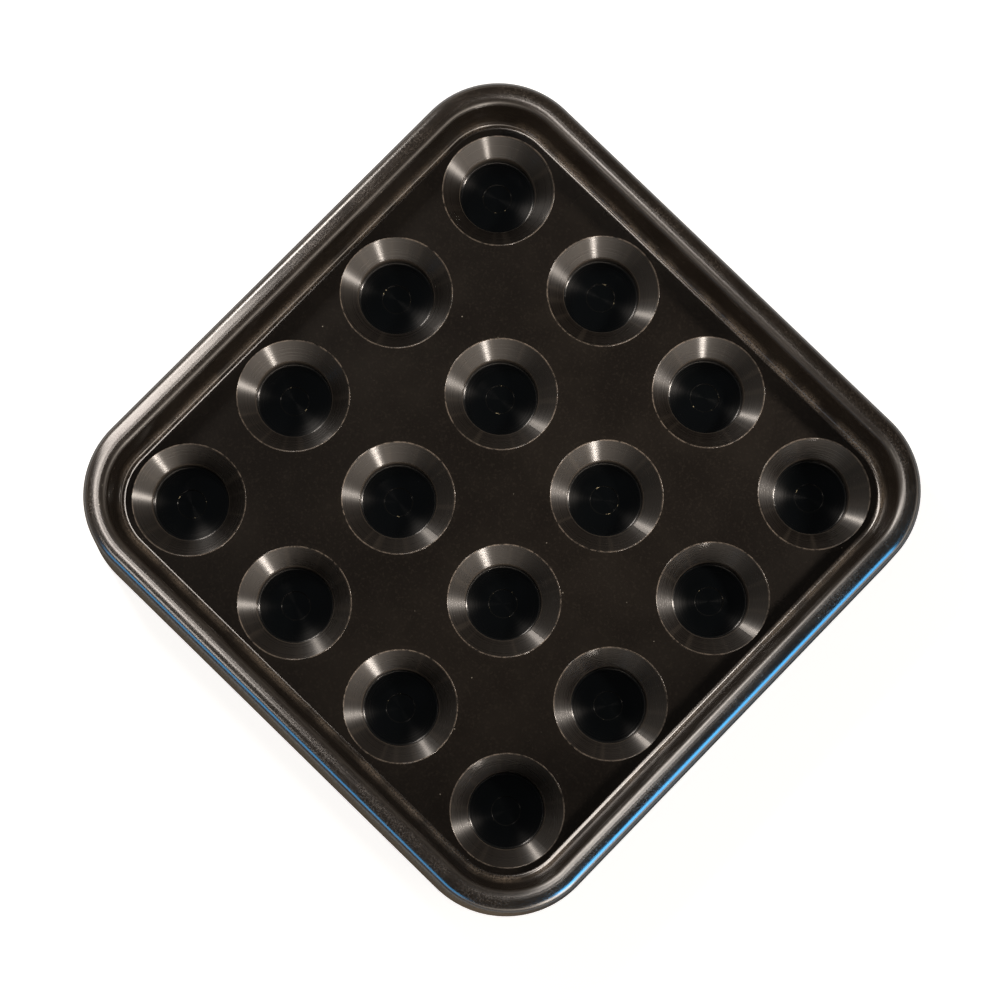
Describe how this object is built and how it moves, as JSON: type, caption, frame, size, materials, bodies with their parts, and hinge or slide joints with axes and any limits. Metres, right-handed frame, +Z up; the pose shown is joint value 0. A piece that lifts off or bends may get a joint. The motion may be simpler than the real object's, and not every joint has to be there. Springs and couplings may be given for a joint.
{
  "type": "billiard ball tray",
  "caption": "Square black moulded plastic tray with a raised rim and a grid of round conical cups, each of which seats one billiard ball.",
  "frame": {"origin": "middle of the base, on the surface that the tray stands on", "axes": "+Z up, out of the cups; +X to the right and +Y to the back, along the sides of the square"},
  "size_m": [0.2666, 0.2666, 0.0317],
  "materials": {
    "deck_plastic": "smooth satin moulding with a little dust",
    "cup_plastic": "fine turned rings copied from the mould, satin on the seat and glossier in the well",
    "rim_plastic": "glossy moulding with a dusty top and light handling wear"
  },
  "bodies": {
    "root": {"deck_quarter_front_left": "deck_plastic", "deck_quarter_front_right": "deck_plastic", "deck_quarter_back_left": "deck_plastic", "deck_quarter_back_right": "deck_plastic", "ball_cup_r1c1": "cup_plastic", "ball_cup_r1c2": "cup_plastic", "ball_cup_r1c3": "cup_plastic", "ball_cup_r1c4": "cup_plastic", "ball_cup_r2c1": "cup_plastic", "ball_cup_r2c2": "cup_plastic", "ball_cup_r2c3": "cup_plastic", "ball_cup_r2c4": "cup_plastic", "ball_cup_r3c1": "cup_plastic", "ball_cup_r3c2": "cup_plastic", "ball_cup_r3c3": "cup_plastic", "ball_cup_r3c4": "cup_plastic", "ball_cup_r4c1": "cup_plastic", "ball_cup_r4c2": "cup_plastic", "ball_cup_r4c3": "cup_plastic", "ball_cup_r4c4": "cup_plastic", "rim_side_front": "rim_plastic", "rim_side_back": "rim_plastic", "rim_side_left": "rim_plastic", "rim_side_right": "rim_plastic", "rim_corner_front_left": "rim_plastic", "rim_corner_front_right": "rim_plastic", "rim_corner_back_left": "rim_plastic", "rim_corner_back_right": "rim_plastic"}
  },
  "joints": []
}
